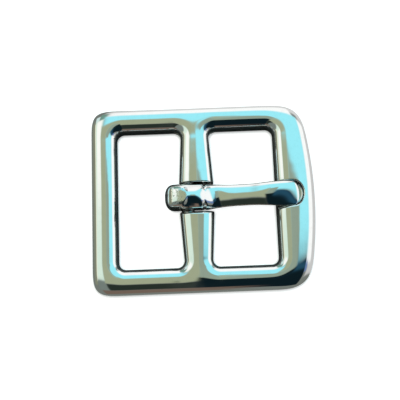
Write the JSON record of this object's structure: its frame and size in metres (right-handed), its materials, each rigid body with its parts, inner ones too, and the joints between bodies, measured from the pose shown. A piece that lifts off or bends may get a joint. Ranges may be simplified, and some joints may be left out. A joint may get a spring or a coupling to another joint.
{
  "type": "centre-bar belt buckle",
  "caption": "Polished cast strap buckle: rounded frame with a centre bar between equal windows, and a hinged flared tongue resting in a recess of the bowed end bar.",
  "frame": {"origin": "under the middle of the frame's outline, at its flat back", "axes": "+X along the strap from the heel bar to the bowed bar that the tongue rests on, +Y across the strap along the tongue's hinge, +Z out of the buckle's face"},
  "size_m": [0.053, 0.0448, 0.0063],
  "materials": {
    "frame_plate": "mirror-polished bright nickel plate on a casting",
    "tongue_plate": "mirror-polished bright nickel plate on a casting"
  },
  "bodies": {
    "frame": {"frame": "frame_plate"},
    "tongue": {"tongue": "tongue_plate"}
  },
  "joints": [
    {"name": "tongue_hinge", "type": "hinge", "parent": "frame", "child": "tongue", "pos_m": [-0.00368, 0, 0.0026], "axis": [0, -1, 0], "range_deg": [0, 165]}
  ]
}
